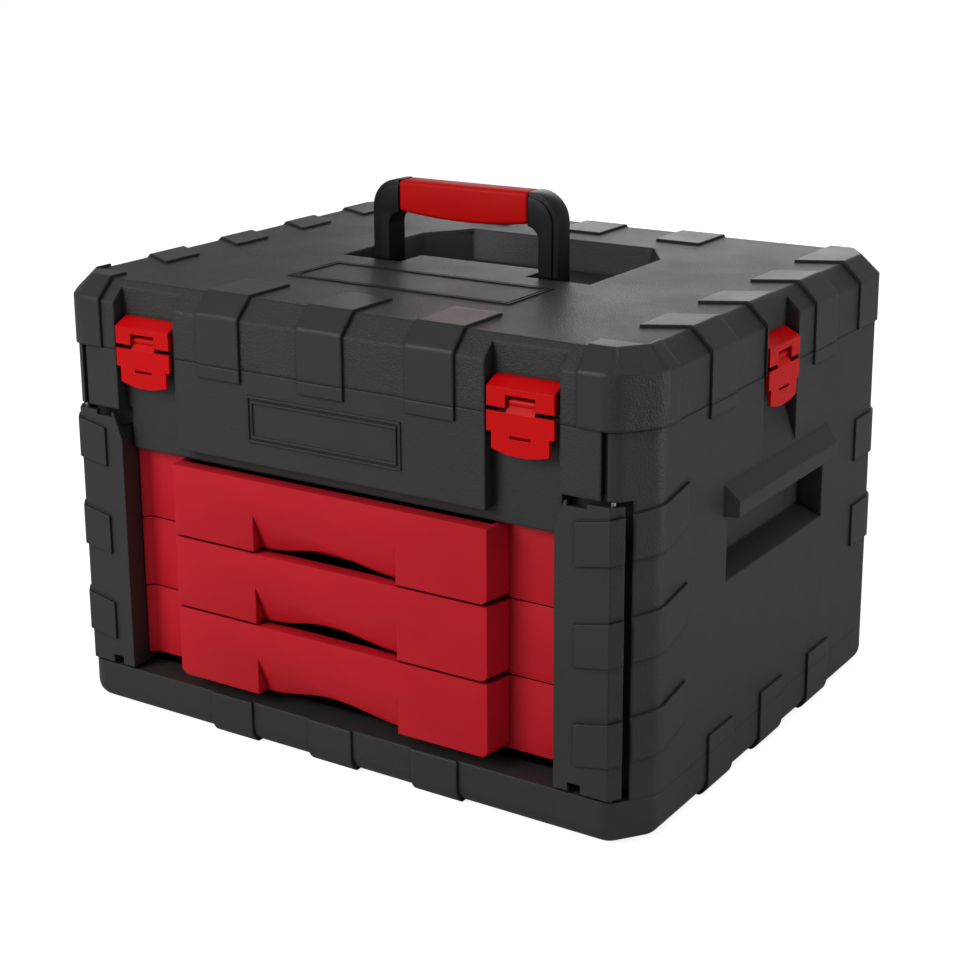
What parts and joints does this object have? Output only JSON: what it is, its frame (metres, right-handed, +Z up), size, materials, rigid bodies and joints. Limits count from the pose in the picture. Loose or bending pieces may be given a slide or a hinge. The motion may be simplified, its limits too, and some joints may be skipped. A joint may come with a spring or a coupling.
{
  "type": "tool chest",
  "caption": "Portable moulded tool chest with a hinged lid, folding carry handle, over-centre latches, locking flaps and sliding drawers.",
  "frame": {"origin": "centre of the footprint at the underside of the base pan", "axes": "+X along the width, +Y from the drawers to the hinge, +Z up"},
  "size_m": [0.458, 0.3786, 0.352],
  "materials": {
    "black_shell": "moulded black polypropylene with a fine leathery grain",
    "inner_black": "black moulded liner and runners",
    "red_drawer": "red moulded polypropylene, fine grain",
    "red_latch": "smooth red acetal",
    "steel_pin": "plain steel pins and screws",
    "black_handle": "satin black nylon",
    "red_grip": "soft red overmoulded grip"
  },
  "bodies": {
    "body": {"body_shell": "black_shell", "base_pan": "black_shell", "base_screws": "steel_pin", "runner_left": "inner_black", "runner_right": "inner_black", "lid_hinge_pins": "steel_pin", "flap_pins": "steel_pin"},
    "lid": {"lid_shell": "black_shell", "handle_pins": "steel_pin", "latch_bracket_front_left": "red_latch", "latch_bracket_front_right": "red_latch", "latch_bracket_side_left": "red_latch", "latch_bracket_side_right": "red_latch", "latch_pin_front_left": "steel_pin", "latch_pin_front_right": "steel_pin", "latch_pin_side_left": "steel_pin", "latch_pin_side_right": "steel_pin"},
    "handle": {"handle_frame": "black_handle", "handle_grip": "red_grip"},
    "flap_left": {"flap_left": "black_shell"},
    "flap_right": {"flap_right": "black_shell"},
    "latch_front_left": {"latch_lever_front_left": "red_latch"},
    "latch_front_right": {"latch_lever_front_right": "red_latch"},
    "latch_side_left": {"latch_lever_side_left": "red_latch"},
    "latch_side_right": {"latch_lever_side_right": "red_latch"},
    "drawer_top": {"drawer_top": "red_drawer", "insert_top": "inner_black"},
    "drawer_middle": {"drawer_middle": "red_drawer", "insert_middle": "inner_black"},
    "drawer_bottom": {"drawer_bottom": "red_drawer", "insert_bottom": "inner_black"}
  },
  "joints": [
    {"name": "lid_hinge", "type": "hinge", "parent": "body", "child": "lid", "pos_m": [0, 0.18375, 0.2525], "axis": [-1, 0, 0], "range_deg": [0, 100]},
    {"name": "handle_fold", "type": "hinge", "parent": "lid", "child": "handle", "pos_m": [0, -0.02125, 0.287], "axis": [-1, 0, 0], "range_deg": [0, 90]},
    {"name": "latch_front_left_swing", "type": "hinge", "parent": "lid", "child": "latch_front_left", "pos_m": [-0.1425, -0.18325, 0.2602], "axis": [-1, 0, 0], "range_deg": [0, 85]},
    {"name": "latch_front_right_swing", "type": "hinge", "parent": "lid", "child": "latch_front_right", "pos_m": [0.1425, -0.18325, 0.2602], "axis": [-1, 0, 0], "range_deg": [0, 85]},
    {"name": "latch_side_left_swing", "type": "hinge", "parent": "lid", "child": "latch_side_left", "pos_m": [-0.217, -0.00425, 0.2602], "axis": [0, 1, 0], "range_deg": [0, 85]},
    {"name": "latch_side_right_swing", "type": "hinge", "parent": "lid", "child": "latch_side_right", "pos_m": [0.217, -0.00425, 0.2602], "axis": [0, -1, 0], "range_deg": [0, 85]},
    {"name": "flap_left_swing", "type": "hinge", "parent": "body", "child": "flap_left", "pos_m": [-0.1998, -0.18205, 0.12], "axis": [0, 0, -1], "range_deg": [0, 100]},
    {"name": "flap_right_swing", "type": "hinge", "parent": "body", "child": "flap_right", "pos_m": [0.1998, -0.18205, 0.12], "axis": [0, 0, 1], "range_deg": [0, 100]},
    {"name": "drawer_top_slide", "type": "slide", "parent": "body", "child": "drawer_top", "axis": [0, -1, 0], "range_m": [0, 0.22]},
    {"name": "drawer_middle_slide", "type": "slide", "parent": "body", "child": "drawer_middle", "axis": [0, -1, 0], "range_m": [0, 0.22]},
    {"name": "drawer_bottom_slide", "type": "slide", "parent": "body", "child": "drawer_bottom", "axis": [0, -1, 0], "range_m": [0, 0.22]}
  ]
}
